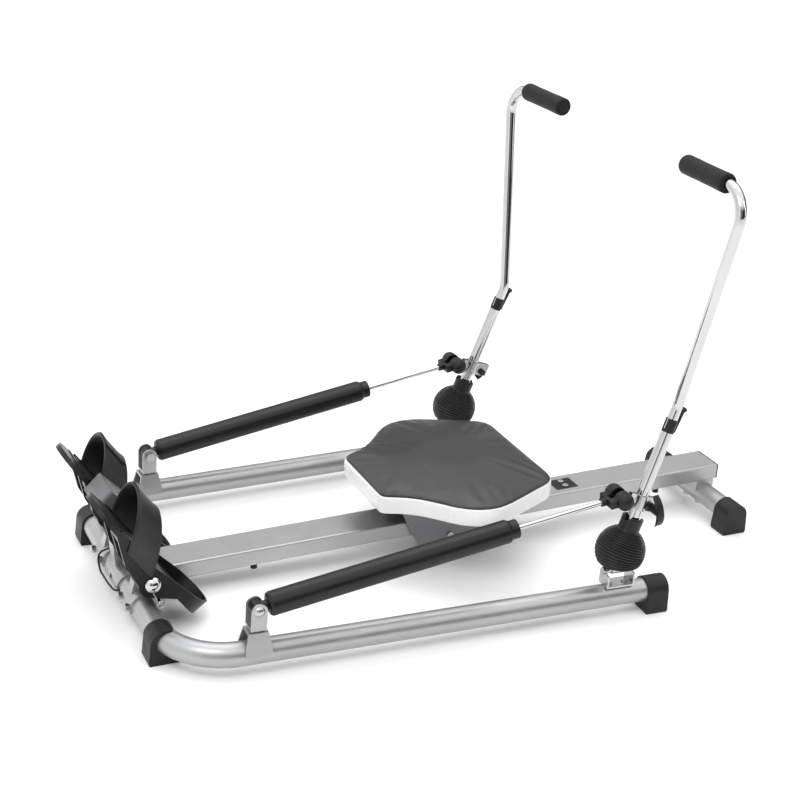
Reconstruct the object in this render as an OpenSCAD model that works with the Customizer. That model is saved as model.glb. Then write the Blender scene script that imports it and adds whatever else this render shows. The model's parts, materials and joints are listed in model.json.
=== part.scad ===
// Hydraulic rowing machine with two swinging arms.
// +X runs from the pedals to the rear foot, +Y to the rower's right, +Z up.
// The origin is on the floor, below the centre of the machine's outline.

/* [Base frame] */
// Outside diameter of the main frame tube
tube_d = 42; // [38:1:45]
// Wall thickness of the main frame tube
tube_wall = 1.8; // [1.2:0.1:2.5]
// Height of the frame tube's axis above the floor
axis_z = 38; // [36:1:42]
// Distance from the middle to a leg's axis, at the crossbar
leg_y0 = 292.5; // [280:0.5:310]
// Outward splay of each leg
splay = 2.3; // [0:0.1:3.5]
// Length of a leg from the crossbar's axis
leg_len = 889; // [880:1:920]
// Centreline radius of the front corners
corner_r = 110; // [90:5:120]

/* [Rail and seat] */
// Width of the rail
rail_w = 70; // [66:1:72]
// Height of the rail
rail_h = 31; // [28:1:32]
// Wall thickness of the rail
rail_wall = 2; // [1.5:0.1:2.5]
// Slope of the rail, rising to the rear
rail_slope = 1.7; // [1:0.1:2]
// Height of the rail's top above the crossbar's axis
rail_rise = 24.4; // [23:0.1:26]
// Distance from the crossbar to the rail's rear end
rail_end = 1207; // [1190:1:1220]
// Distance from the crossbar to the seat's centre, along the rail
seat_x = 605; // [560:5:660]
// Length of the seat
seat_l = 326; // [310:2:336]
// Thickness of the cushion's side
seat_h = 35; // [33:1:40]

/* [Pedals] */
// Height of the pedal axle above the floor
pedal_z = 103; // [100:1:106]
// Tilt of the foot plates from level
pedal_tilt = 52.7; // [45:0.1:54]
// Width of a foot plate
plate_w = 106; // [96:1:108]
// Height of the instep strap's arch above the axle
strap_h = 83; // [80:1:86]

/* [Arms] */
// Distance along the leg to the arm's joint
joint_x = 792.6; // [785:0.2:800]
// Height of the fore and aft pivot
row_z = 125; // [124:0.5:127]
// Height of the sideways pivot
lean_z = 89; // [87:0.5:90]
// Rearward lean of the arm at rest
arm_back = 18.2; // [16:0.1:20]
// Inward lean of the arm at rest
arm_in = 3.2; // [0:0.1:4]
// Outside diameter of the lower arm tube
arm_d = 22; // [21.6:0.1:22.4]
// Outside diameter of the handle tube
handle_d = 19; // [18.4:0.1:19.1]
// Diameter of the foam grip
grip_d = 34; // [30:1:36]
// Length of the foam grip
grip_l = 128; // [110:1:135]
// Outside radius of the ribbed boot
boot_r = 44.5; // [43:0.5:45]

/* [Hydraulic cylinders] */
// Distance along the leg to the cylinder's front pin
pin_x = 129.6; // [125:0.2:135]
// Height of the cylinder's front pin
pin_z = 118.5; // [116:0.5:121]
// Outside diameter of the cylinder
cyl_d = 41; // [38:1:42]
// Length of the cylinder's body
cyl_l = 431; // [420:1:436]
// Diameter of the piston rod
rod_d = 9; // [8:0.5:10]

/* [Hidden] */
$fn = 48;
hull_fn = 32;       // facets on the children of a hull
over = 1;           // how far a cutter runs past the face it cuts
run_fit = 0.06;     // radial clearance of a running fit
air = 0.3;          // gap between faces of different bodies
swell = 0.06;       // how much a bend stands out of the straight tube
lap = 0.8;          // how far a straight tube runs into a bend's wall

silver = [0.70, 0.71, 0.73];
zinc = [0.78, 0.78, 0.76];
chrome = [0.86, 0.87, 0.89];
black = [0.07, 0.07, 0.075];
charcoal = [0.20, 0.20, 0.21];
pearl = [0.92, 0.92, 0.91];
grey = [0.42, 0.43, 0.44];

tube_r = tube_d / 2;
shell_r = tube_r + 3.5;             // outside of a saddle shell on the tube
corner_t = corner_r * tan((90 - splay) / 2);
rail_z0 = axis_z + rail_rise;       // rail's top face over the crossbar
bolt_r = 4;                         // radius of the M8 fasteners
head_r = 7;                         // radius of their heads
head_h = 5;                         // height of their heads

// Seat, measured along and up from the rail's top face at the seat's centre
seat_bottom = 57;
carriage_in = 41;                   // half width between the carriage's sides
carriage_t = 3;
carriage_top = 42;
wheel_r = 14;
wheel_x = 36;                       // distance of each top axle from the centre
wheel_y = [22, 34];                 // each wheel's inner and outer face
bottom_wheel_r = 6.5;
bottom_wheel_z = -rail_h - bottom_wheel_r - 0.1;
axle_r = 4;

// Pedals, measured from the axle: x towards the heel, y sideways, z off the plate
pedal_x = 4;
pedal_y = 100;                      // distance of each plate's middle line
pedal_axle_r = 5;
plate_bottom = 12;
plate_t = 9;
plate_toe = -170;
heel_x = 67;
heel_wall = 4;
heel_h = 44;
lug_y = 10;                         // half width of a pedal bracket's upright
strap_w = 66;                       // width of the strap along the sole
strap_x = -91;                      // its toe edge, at the sole's top face
strap_t = 2.5;
strap_r = plate_w / 2 + strap_t;    // outside radius of the strap's arch
strap_foot = 6;                     // lowest point of its legs
strap_lean = 36;                    // the arch's lean towards the toes

// Console
console_l = 72;
console_w = 78;
console_d = 38;
console_at = [-34, 224];            // its top edge, in x and z
console_tilt = 45;
// Height of the console's back face at a given x
function console_back_z(x) = console_at.y - console_d / cos(console_tilt)
    - (x - console_at.x) * tan(console_tilt);

// Arm linkage
clamp_z = 92.4;                     // regulator's height up the arm
eye_x = -43.3;                        // rod end's place in front of the arm
arm_r = arm_d / 2;
sock_z = 224;                       // top of the lower arm tube
kink_z = 273;                       // where the handle tube turns upright
grip_z = 778;                       // height of the grip's axis
handle_bend_x = 898.6;                // the top bend's corner, along the leg
handle_bend_y = -61.9;                // the top bend's corner, across the leg
handle_r = handle_d / 2;
kink_r = 40;
top_r = 48;
row_pin_r = 4;

function unit(v) = v / norm(v);
function tilt_x(p, a) = [p.x, p.y * cos(a) - p.z * sin(a), p.y * sin(a) + p.z * cos(a)];
// A point of the arm, given along the arm, as a point of its side of the frame
function arm_point(x, z) =
    let (flat = [x * cos(arm_back) + z * sin(arm_back), 0,
                 row_z - lean_z + z * cos(arm_back) - x * sin(arm_back)])
    [joint_x, 0, lean_z] + tilt_x(flat, -arm_in);
rod_eye = arm_point(eye_x, clamp_z);
rod_v = rod_eye - [pin_x, 0, pin_z];
rod_len = norm(rod_v);
rod_yaw = atan2(rod_v.y, rod_v.x);
rod_tilt = asin(rod_v.z / rod_len);
cyl_start = 17.6;                   // from the pin to the cylinder's front face
cyl_end = cyl_start + cyl_l;

kink = arm_point(0, kink_z);
sock_bottom = arm_point(0, sock_z - 60);
top_corner = [handle_bend_x, handle_bend_y, grip_z];
grip_start_y = handle_bend_y + top_r * tan(101 / 2) + 2;
grip_tip = [handle_bend_x + 1, grip_start_y + grip_l - 4, grip_z - 2];
handle_path = [sock_bottom, kink, top_corner, grip_tip];

// The outline's length runs from the pedals' toes to the rear feet
toe_x = pedal_x + plate_toe * cos(pedal_tilt)
    + (plate_bottom) * sin(pedal_tilt);
cap_t = 3;
foot_half = 27;                     // half the feet's width at the floor
stab_x = rail_end - 22;
centre_x = (toe_x + stab_x + foot_half) / 2;

// ---------- placing ----------
module machine() {
    translate([-centre_x, 0, 0]) children();
}
module on_side(side) {
    if (side < 0) children();
    else mirror([0, 1, 0]) children();
}
// Along the left leg: x along its axis, y inwards, z from the floor
module leg_frame() {
    translate([0, -leg_y0, 0]) rotate([0, 0, -splay]) children();
}
module arm_side(side) {
    machine() on_side(side) leg_frame() children();
}
module rail_frame(along = 0) {
    translate([0, 0, rail_z0]) rotate([0, -rail_slope, 0]) translate([along, 0, 0]) children();
}
module seat_frame() {
    machine() rail_frame(seat_x) children();
}
module pedal_frame(side) {
    machine() on_side(side) translate([pedal_x, -pedal_y, pedal_z])
        rotate([0, pedal_tilt, 0]) children();
}
module lean_frame() {
    translate([joint_x, 0, lean_z]) rotate([-arm_in, 0, 0]) children();
}
module arm_frame(side) {
    arm_side(side) lean_frame() translate([0, 0, row_z - lean_z])
        rotate([0, arm_back, 0]) children();
}
module clevis_frame(side) {
    arm_side(side) translate([pin_x, 0, 0]) rotate([0, 0, rod_yaw]) children();
}
// x runs along the cylinder from its front pin
module cylinder_frame(side) {
    clevis_frame(side) translate([0, 0, pin_z]) rotate([0, -rod_tilt, 0]) children();
}
module console_frame() {
    machine() translate([console_at.x, 0, console_at.y]) rotate([0, console_tilt, 0]) children();
}

// ---------- shapes ----------
module rod_x(r, from, to) {
    translate([from, 0, 0]) rotate([0, 90, 0]) cylinder(r = r, h = to - from);
}
module rod_y(r, from, to) {
    translate([0, from, 0]) rotate([-90, 0, 0]) cylinder(r = r, h = to - from);
}
module rod_z(r, from, to) {
    translate([0, 0, from]) cylinder(r = r, h = to - from);
}
module slab(from, to) {
    translate(from) cube(to - from);
}
// An outline drawn in x and z, given a width in y
module plate_xz(from, to) {
    translate([0, to, 0]) rotate([90, 0, 0]) linear_extrude(to - from) children();
}
// An outline drawn in y and z, given a length in x
module bar_yz(from, to) {
    translate([from, 0, 0]) rotate([90, 0, 90]) linear_extrude(to - from) children();
}
module round_rect(w, h, r) {
    square([w - 2 * r, h], center = true);
    square([w, h - 2 * r], center = true);
    for (x = [-1, 1], y = [-1, 1])
        translate([x * (w / 2 - r), y * (h / 2 - r)]) circle(r);
}
// The section of a tube
module ring(r, wall) {
    difference() {
        circle(r);
        circle(r - wall);
    }
}
// A straight bar between two points
module stretch(a, b, r) {
    v = b - a;
    translate(a) rotate([0, acos(v.z / norm(v)), atan2(v.y, v.x)])
        cylinder(r = r, h = norm(v));
}
// A straight tube between two points
module stretch_tube(a, b, r, wall) {
    v = b - a;
    translate(a) rotate([0, acos(v.z / norm(v)), atan2(v.y, v.x)])
        linear_extrude(norm(v)) ring(r, wall);
}
// A quarter bend or other arc that leaves point a along unit vector d
module bend(a, d, towards, bend_radius, angle, r, wall) {
    centre = a + towards * bend_radius;
    ex = -towards;
    ez = cross(ex, d);
    ey = cross(ez, ex);
    turn = [atan2(ey.z, ez.z), -asin(ex.z), atan2(ex.y, ex.x)];
    translate(centre) rotate(turn) rotate_extrude(angle = angle)
        translate([bend_radius, 0]) ring(r + swell, wall + 2 * swell);
}
// A tube of radius r through four points, rounded at the two in the middle
module bent_tube(p, r1, r2, r, wall) {
    d = [for (i = [0:2]) unit(p[i + 1] - p[i])];
    a1 = acos(d[0] * d[1]);
    a2 = acos(d[1] * d[2]);
    t1 = r1 * tan(a1 / 2);
    t2 = r2 * tan(a2 / 2);
    stretch_tube(p[0], p[1] - d[0] * (t1 - lap), r, wall);
    bend(p[1] - d[0] * t1, d[0], unit(d[1] - d[0] * (d[0] * d[1])), r1, a1, r, wall);
    stretch_tube(p[1] + d[1] * (t1 - lap), p[2] - d[1] * (t2 - lap), r, wall);
    bend(p[2] - d[1] * t2, d[1], unit(d[2] - d[1] * (d[1] * d[2])), r2, a2, r, wall);
    stretch_tube(p[2] + d[2] * (t2 - lap), p[3], r, wall);
}
// Points of an outline, each given corner cut back and rounded
function arc_at(p, q, s, cut, n) =
    let (a = q + unit(p - q) * cut, b = q + unit(s - q) * cut)
    [for (i = [0:n]) let (t = i / n) (1 - t) * (1 - t) * a + 2 * t * (1 - t) * q + t * t * b];
function rounded(pts, cuts, n = 6) =
    let (m = len(pts))
    [for (i = [0:m - 1]) each arc_at(pts[(i + m - 1) % m], pts[i], pts[(i + 1) % m], cuts[i], n)];
// An M8 bolt along x with its head at the start and a nut at the end
module bolt_x(from, to) {
    rod_x(bolt_r, from, to);
    rod_x(head_r, from - head_h, from);
    rod_x(head_r, to, to + head_h);
}
// The end foot: a rounded block, wider at the floor, that takes the tube
module foot_outline() {
    translate([0, axis_z]) circle(tube_r + 3.5);
    polygon([[-24.5, axis_z], [-foot_half, 5], [2 - foot_half, 0], [foot_half - 2, 0],
             [foot_half, 5], [24.5, axis_z]]);
}

// ---------- base frame ----------
module u_tube(leg_end) {
    half = leg_y0 - corner_t + lap;
    translate([0, half, 0]) rotate([90, 0, 0]) linear_extrude(2 * half) ring(tube_r, tube_wall);
    for (side = [-1, 1]) on_side(side) translate([0, -leg_y0, 0]) rotate([0, 0, -splay]) {
        translate([corner_t - lap, 0, 0]) rotate([90, 0, 90])
            linear_extrude(leg_end - corner_t + lap) ring(tube_r, tube_wall);
        translate([corner_t, corner_r, 0]) rotate([0, 0, 180 + splay])
            rotate_extrude(angle = 90 - splay) translate([corner_r, 0])
                ring(tube_r + swell, tube_wall + 2 * swell);
    }
}
pedal_bolt_y = [64, 106];
module main_frame_tube() {
    color(silver) machine() translate([0, 0, axis_z]) difference() {
        u_tube(leg_len - 3);
        for (y = pedal_bolt_y, side = [-1, 1]) translate([0, side * y, 2])
            rod_x(bolt_r, -30, 30);
        translate([0, -44, 0]) rod_x(4, -30, 0);
    }
}
module front_feet() {
    color(black) machine() for (side = [-1, 1]) on_side(side) difference() {
        plate_xz(-233, -193) foot_outline();
        translate([0, 0, axis_z]) {
            rod_y(tube_r + swell, corner_t - leg_y0 - lap, -180);
            // the bend that follows the straight crossbar
            translate([0, -leg_y0, 0]) rotate([0, 0, -splay]) translate([corner_t, corner_r, 0])
                rotate([0, 0, 180 + splay]) rotate_extrude(angle = 90 - splay)
                    translate([corner_r, 0]) circle(tube_r + swell);
        }
    }
}
module leg_end_caps() {
    color(black) for (side = [-1, 1]) arm_side(side) difference() {
        bar_yz(leg_len - 41, leg_len) foot_outline();
        translate([0, 0, axis_z]) rod_x(tube_r, leg_len - 42, leg_len - 3);
    }
}
base_x = 17;
base_z = 80;
module cylinder_bases() {
    color(silver) for (side = [-1, 1]) arm_side(side) difference() {
        intersection() {
            translate([pin_x, 0, 0]) plate_xz(-40, 40)
                polygon([[-base_x, base_z], [base_x, base_z], [base_x + 7, axis_z + 5],
                         [-base_x - 7, axis_z + 5]]);
            bar_yz(60, 200) polygon([[-15, base_z], [15, base_z], [23.5, axis_z + 5],
                                     [-23.5, axis_z + 5]]);
        }
        bar_yz(59, 201) polygon([[-12, base_z - 3], [12, base_z - 3], [20.4, axis_z + 3],
                                 [-20.4, axis_z + 3]]);
        translate([0, 0, axis_z]) rod_x(tube_r, 60, 200);
        translate([pin_x, 0, 0]) rod_z(bolt_r, 60, 100);
    }
}
bracket_z = axis_z + tube_d / 2;
module joint_brackets() {
    color(zinc) for (side = [-1, 1]) arm_side(side) translate([joint_x, 0, 0]) difference() {
        union() {
            slab([-27, -15, bracket_z], [27, 15, bracket_z + 3]);
            for (k = [-1, 1]) {
                slab([k * 25.5 - 1.5, -15, bracket_z], [k * 25.5 + 1.5, 15, lean_z - 6]);
                translate([k * 25.5, 0, lean_z - 6]) slab([-1.5, -9, 0], [1.5, 9, 6]);
                translate([k * 25.5, 0, lean_z]) rod_x(9, -1.5, 1.5);
            }
        }
        translate([0, 0, lean_z]) rod_x(bolt_r, -40, 40);
        for (x = [-15, 15]) translate([x, 0, 0]) rod_z(3, 50, 70);
    }
}
module rail_outline(grow = 0) {
    round_rect(rail_w + 2 * grow, rail_h + 2 * grow, 3 + grow);
}
module seat_rail() {
    color(silver) machine() difference() {
        rail_frame() translate([0, 0, -rail_h / 2]) difference() {
            bar_yz(0, rail_end) rail_outline();
            bar_yz(-over, rail_end + over) rail_outline(-rail_wall);
        }
        translate([0, 0, axis_z]) rod_y(shell_r, -60, 60);
        rail_frame() slab([plate_x - 24, -20, -5], [plate_x + 24, 20, over]);
        rail_frame() for (x = [stab_x - 16, stab_x + 16]) translate([x, 0, 0])
            rod_z(bolt_r, -rail_h - 5, -rail_h + 5);
    }
}
module rail_end_cap() {
    color(black) machine() rail_frame() translate([0, 0, -rail_h / 2]) {
        bar_yz(rail_end, rail_end + cap_t) rail_outline();
        bar_yz(rail_end - 15, rail_end) rail_outline(-rail_wall - 0.2);
    }
}
plate_x = 870;
module rail_top_plate() {
    color(black) machine() rail_frame(plate_x) {
        slab([-24, -20, -3], [24, 20, 0]);
    }
}
bumper_x = [226, 1070];
module rail_bumpers() {
    color(black) machine() rail_frame() for (x = bumper_x, y = [-26, 26])
        translate([x, y, 0]) rod_z(6, -rail_h - 9, -rail_h);
}
module rail_saddle() {
    color(silver) machine() {
        difference() {
            translate([0, 0, axis_z]) rod_y(shell_r, -38, 38);
            translate([0, 0, axis_z]) rod_y(tube_r, -40, 40);
            slab([-30, -40, 0], [30, 40, 30]);
            slab([-30, -6, 36], [-10, 6, 46]);
        }
        plate_xz(-15, 15) polygon([[-8, 61], [-14, 58.5], [-20, 68], [-30, console_back_z(-30)],
                                   [-27, console_back_z(-27)], [-16, 68]]);
    }
}
stab_half = 144;
module rear_stabilizer() {
    color(silver) machine() translate([stab_x, 0, axis_z]) difference() {
        rod_y(tube_r, -stab_half + 3, stab_half - 3);
        rod_y(tube_r - tube_wall, -stab_half, stab_half);
        for (y = [-20, 20]) translate([0, y, 0]) rod_z(bolt_r, -30, 30);
    }
    color(silver) machine() difference() {
        intersection() {
            slab([stab_x - 20, -32, axis_z + 5], [stab_x + 20, 32, axis_z + 60]);
            rail_frame() slab([stab_x - 60, -40, -rail_h - 60], [stab_x + 60, 40, -rail_h]);
        }
        translate([stab_x, 0, axis_z]) rod_y(tube_r, -40, 40);
        for (y = [-20, 20]) translate([stab_x, y, 0]) rod_z(bolt_r, 30, 90);
    }
}
module stabilizer_feet() {
    color(black) machine() translate([stab_x, 0, 0]) for (side = [-1, 1]) on_side(side)
        difference() {
            plate_xz(-stab_half, -stab_half + 41) foot_outline();
            translate([0, 0, axis_z]) rod_y(tube_r, -stab_half + 3, -90);
        }
}
module frame_bolts() {
    color(zinc) machine() {
        for (y = pedal_bolt_y, side = [-1, 1]) translate([0, side * y, axis_z + 2])
            bolt_x(-shell_r - 0.5, shell_r + 0.5);
        for (y = [-20, 20]) translate([stab_x, y, 0]) {
            rod_z(bolt_r, axis_z - tube_r, axis_z + tube_r + 7);
            rod_z(head_r, axis_z - tube_r - head_h, axis_z - tube_r);
        }
    }
    color(zinc) machine() rail_frame(plate_x) for (y = [-9, 9]) translate([0, y, 0])
        rod_z(6, 0, 2);
    color(zinc) for (side = [-1, 1]) arm_side(side) {
        translate([joint_x, 0, lean_z]) bolt_x(-27, 27);
        for (x = [-15, 15]) translate([joint_x + x, 0, 0]) {
            rod_z(3, axis_z + tube_r, bracket_z + 3);
            rod_z(5.5, bracket_z + 3, bracket_z + 6);
        }
        translate([pin_x, 0, 0]) {
            rod_z(bolt_r, base_z - 3, 88.4);
            rod_z(head_r, 88.4, 92);
            rod_z(head_r, base_z - 8, base_z - 3);
        }
    }
}

// ---------- pedals ----------
module pedal_brackets() {
    color(silver) machine() for (side = [-1, 1]) on_side(side) difference() {
        union() {
            translate([0, 0, axis_z]) rod_y(shell_r, -114, -56);
            plate_xz(-pedal_y + 15 - lug_y, -pedal_y + 15 + lug_y) {
                polygon([[-16, axis_z + 18], [16, axis_z + 18], [13, pedal_z], [-5, pedal_z]]);
                translate([pedal_x, pedal_z]) circle(10);
            }
        }
        translate([0, 0, axis_z]) rod_y(tube_r, -120, -50);
        slab([-40, -120, 0], [40, -50, 30]);
        translate([pedal_x, 0, pedal_z]) rod_y(pedal_axle_r, -120, -50);
        for (y = pedal_bolt_y) translate([0, -y, axis_z + 2]) rod_x(bolt_r, -40, 40);
    }
}
axle_end = pedal_y + plate_w / 2 + 2;
module pedal_axle() {
    color(chrome) machine() translate([pedal_x, 0, pedal_z]) {
        rod_y(pedal_axle_r, -axle_end - 3, axle_end + 3);
        for (side = [-1, 1]) on_side(side) {
            difference() {
                translate([0, -axle_end + 6, 0]) sphere(r = 15.5);
                slab([-20, -axle_end, -20], [20, -axle_end + 30, 20]);
                rod_y(pedal_axle_r, -axle_end - 3, 0);
            }
            translate([0, -axle_end + 1.6, 0]) rotate([90, 0, 0]) difference() {
                cylinder(r = 13, h = 1.6);
                translate([0, 0, -over]) cylinder(r = pedal_axle_r, h = 4);
            }
        }
    }
}
// Plan of a foot plate: a long plate with a round toe and a round heel
module sole_outline(grow = 0) {
    w = plate_w / 2 + grow;
    for (x = [heel_x, plate_toe + plate_w / 2]) translate([x, 0]) circle(w);
    translate([plate_toe + plate_w / 2, -w]) square([heel_x - plate_toe - plate_w / 2, 2 * w]);
}
module footplate(side) {
    color(black) pedal_frame(side) {
        difference() {
            union() {
                translate([0, 0, plate_bottom]) linear_extrude(plate_t) sole_outline();
                // the heel cup's wall
                difference() {
                    translate([0, 0, plate_bottom]) linear_extrude(heel_h - plate_bottom)
                        difference() {
                            sole_outline();
                            sole_outline(-heel_wall);
                            translate([-400, -100]) square([370, 200]);
                        }
                    translate([-30, 0, plate_bottom + plate_t]) rotate([0, -8.5, 0])
                        slab([-60, -90, 0], [260, 90, 90]);
                }
                // side rims along the sole
                for (y = [-1, 1]) slab([plate_toe + 56, y * (plate_w / 2 - 2) - 2, plate_bottom],
                                       [-30, y * (plate_w / 2 - 2) + 2, plate_bottom + plate_t + 3]);
                // tread ribs across the sole
                for (i = [0:5]) translate([plate_toe + 38 + i * 17, 0, plate_bottom + plate_t])
                    slab([0, -plate_w / 2 + 9, 0], [6, plate_w / 2 - 9, 1.6]);
                // the housing under the plate that takes the axle
                plate_xz(-plate_w / 2, plate_w / 2) {
                    polygon([[-115, plate_bottom], [-60, -12], [-16, -18], [16, -18],
                             [52, plate_bottom]]);
                    circle(24);
                }
            }
            rod_y(pedal_axle_r + run_fit, -80, 80);
            // slot for the bracket's upright
            slab([-130, 15 - lug_y - 3, -60], [90, 15 + lug_y + 3, plate_bottom - 0.5]);
            for (y = [-1, 1]) slab([-100, y * 26 - 16, -40], [-22, y * 26 + 16, plate_bottom - 3]);
        }
    }
}
// The strap's arch, drawn across the foot
module arch(r_out, r_in) {
    rise = strap_h - strap_r;
    difference() {
        union() {
            translate([0, rise]) circle(r_out);
            translate([-r_out, strap_foot]) square([2 * r_out, rise - strap_foot]);
        }
        translate([0, rise]) circle(r_in);
        translate([-r_in, strap_foot - over]) square([2 * r_in, rise + over - strap_foot]);
        translate([-90, strap_foot - 90]) square([180, 90]);
    }
}
// The strap seen from the side: a band that leans towards the toes
module leaning_band(inset) {
    ends = [strap_x + inset, strap_x + strap_w - inset];
    function at(end, z) = [end - (z - plate_bottom - plate_t) * tan(strap_lean), z];
    plate_xz(-80, 80) polygon([at(ends[0], -5), at(ends[1], -5), at(ends[1], 95),
                               at(ends[0], 95)]);
}
module foot_strap(side) {
    color(black) pedal_frame(side) {
        intersection() {
            bar_yz(-160, 0) arch(strap_r, strap_r - strap_t);
            leaning_band(0);
        }
        // the free end, pressed down over the arch
        intersection() {
            bar_yz(-160, 0) intersection() {
                arch(strap_r + strap_t, strap_r);
                polygon([[0, 25], [-90, 0], [-90, 100], [40, 120]]);
            }
            leaning_band(3);
        }
    }
}

// ---------- console ----------
bezel_t = 8;
screen_x = [10, 46];
button_x = 59;
button_r = 6;
module console_outline(grow = 0) {
    translate([console_l / 2, 0]) round_rect(console_l + 2 * grow, console_w + 2 * grow, 6 + grow);
}
module console_back() {
    color(grey) console_frame() difference() {
        translate([0, 0, -console_d]) linear_extrude(console_d - bezel_t) console_outline();
        translate([0, 0, -console_d + 2]) linear_extrude(console_d) console_outline(-2);
        translate([0, 10, -30]) rod_x(lead_r, console_l - 5, console_l + over);
    }
}
module console_front() {
    color(grey) console_frame() difference() {
        translate([0, 0, -bezel_t]) linear_extrude(bezel_t) console_outline();
        translate([0, 0, -bezel_t - over]) linear_extrude(bezel_t - 2 + over) console_outline(-2);
        slab([screen_x[0], -29, -bezel_t], [screen_x[1], 29, over]);
        translate([button_x, 0, -bezel_t]) cylinder(r = button_r + air, h = bezel_t + over);
    }
}
module console_screen() {
    color([0.62, 0.67, 0.60]) console_frame() {
        slab([screen_x[0], -29, -3], [screen_x[1], 29, -0.8]);
        // the circuit board behind the screen, on two posts
        slab([8, -34, -16], [64, 34, -14.4]);
        for (y = [-20, 20]) translate([28, y, 0]) rod_z(3, -14.4, -3);
    }
}
module console_button() {
    color([0.65, 0.15, 0.12]) console_frame() translate([button_x, 0, 0]) {
        rod_z(button_r, -5, 1.8);
        rod_z(2, -12.4, -5);
    }
}
// The speed sensor's lead, from the console to the frame
lead_route = [
    [-5.5, 10, 153.1], [-2, 10, 149.6], [0, 10.5, 144], [-1, 11.5, 136], [-4, 13, 126],
    [-8, 16, 115], [-11, 20, 104], [-11, 27, 90], [-13, 37, 77], [-19, 48, 68], [-26, 56, 60],
    [-30, 58, 50], [-31, 51, 39], [-31, 40, 31], [-30, 27, 29], [-30, 12, 30], [-30, -3, 31],
    [-29, -18, 32], [-29, -30, 34], [-27, -39, 36], [-21, -44, 38], [-15, -44, 38]
];
lead_r = 1.75;
module lead_tube(path, r, sides = 8) {
    m = len(path);
    rings = [for (i = [0:m - 1])
        let (d = unit(path[min(i + 1, m - 1)] - path[max(i - 1, 0)]),
             u = unit(cross(d, [1, 0.2, 0.1])),
             v = cross(d, u))
        each [for (k = [0:sides - 1])
            path[i] + r * (u * cos(360 * k / sides) + v * sin(360 * k / sides))]];
    walls = [for (i = [0:m - 2], k = [0:sides - 1])
        let (a = i * sides, b = (k + 1) % sides)
        [a + k, a + b, a + sides + b, a + sides + k]];
    first = [for (k = [0:sides - 1]) sides - 1 - k];
    last = [for (k = [0:sides - 1]) (m - 1) * sides + k];
    polyhedron(points = rings, faces = concat(walls, [first, last]), convexity = 6);
}
module sensor_lead() {
    color(black) machine() {
        lead_tube(lead_route, lead_r);
    }
}

// ---------- seat ----------
seat_front_w = 84;
seat_waist = [-108, 108];
seat_mid = [-14, 213];
seat_rear_w = 132;
function flip_y(p) = [p.x, -p.y];
function seat_points() =
    let (h = seat_l / 2)
    rounded([[-h, -seat_front_w], flip_y(seat_waist), flip_y(seat_mid), [h, -seat_rear_w],
             [h, seat_rear_w], seat_mid, seat_waist, [-h, seat_front_w]],
            [12, 34, 72, 28, 28, 72, 34, 12]);
module seat_outline(k = 1) {
    scale([k, k]) polygon(seat_points());
}
band_k = 0.982;
module seat_cushion() {
    color(charcoal) seat_frame() {
        translate([0, 0, seat_bottom]) linear_extrude(seat_h) seat_outline(band_k);
        for (step = [[0.975, 6], [0.94, 10], [0.88, 13], [0.76, 15.5]])
            translate([0, 0, seat_bottom + seat_h - 1]) linear_extrude(1 + step[1])
                seat_outline(step[0]);
    }
}
module seat_band() {
    color(pearl) seat_frame() translate([0, 0, seat_bottom]) linear_extrude(seat_h) difference() {
        seat_outline();
        seat_outline(band_k);
    }
}
board_t = 12;
module seat_board() {
    color(charcoal) seat_frame() difference() {
        translate([0, 0, seat_bottom - board_t]) linear_extrude(board_t) seat_outline(0.84);
        for (x = [-55, 55], y = [-28, 28]) translate([x, y, 0])
            rod_z(3, seat_bottom - board_t - over, seat_bottom - 3);
    }
}
module carriage_side() {
    polygon([[-104, carriage_top + carriage_t], [90, carriage_top + carriage_t], [90, 34],
             [66, -30], [56, -50], [-62, -50], [-74, -30], [-104, 34]]);
}
module seat_carriage() {
    color(grey) seat_frame() difference() {
        plate_xz(-carriage_in - carriage_t, carriage_in + carriage_t) carriage_side();
        slab([-100, -carriage_in, -60], [100, carriage_in, carriage_top]);
        for (x = [-wheel_x, wheel_x]) translate([x, 0, wheel_r + 0.1])
            rod_y(axle_r, -60, 60);
        translate([0, 0, bottom_wheel_z]) rod_y(axle_r, -60, 60);
        for (x = [-55, 55], y = [-28, 28]) translate([x, y, 0]) rod_z(3, 30, 60);
    }
}
module axle_bolt() {
    out = carriage_in + carriage_t;
    rod_y(axle_r, -out, out);
    rod_y(6.5, -out - 4, -out);
    rod_y(6.5, out, out + 5);
}
module carriage_axles() {
    color(zinc) seat_frame() {
        for (x = [-wheel_x, wheel_x]) translate([x, 0, wheel_r + 0.1]) axle_bolt();
        translate([0, 0, bottom_wheel_z]) axle_bolt();
        for (x = [-55, 55], y = [-28, 28]) translate([x, y, 0]) {
            rod_z(3, carriage_top, seat_bottom - 3);
            rod_z(5.5, carriage_top - 3.5, carriage_top);
        }
    }
}
module wheel_pair(r, width) {
    for (side = [-1, 1]) on_side(side) difference() {
        rod_y(r, -width[1], -width[0]);
        rod_y(axle_r + run_fit, -60, 60);
    }
}
module top_roller(k) {
    color(black) seat_frame() translate([k * wheel_x, 0, wheel_r + 0.1])
        wheel_pair(wheel_r, wheel_y);
}
module bottom_roller() {
    color(black) seat_frame() translate([0, 0, bottom_wheel_z])
        wheel_pair(bottom_wheel_r, [18, 32]);
}

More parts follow.
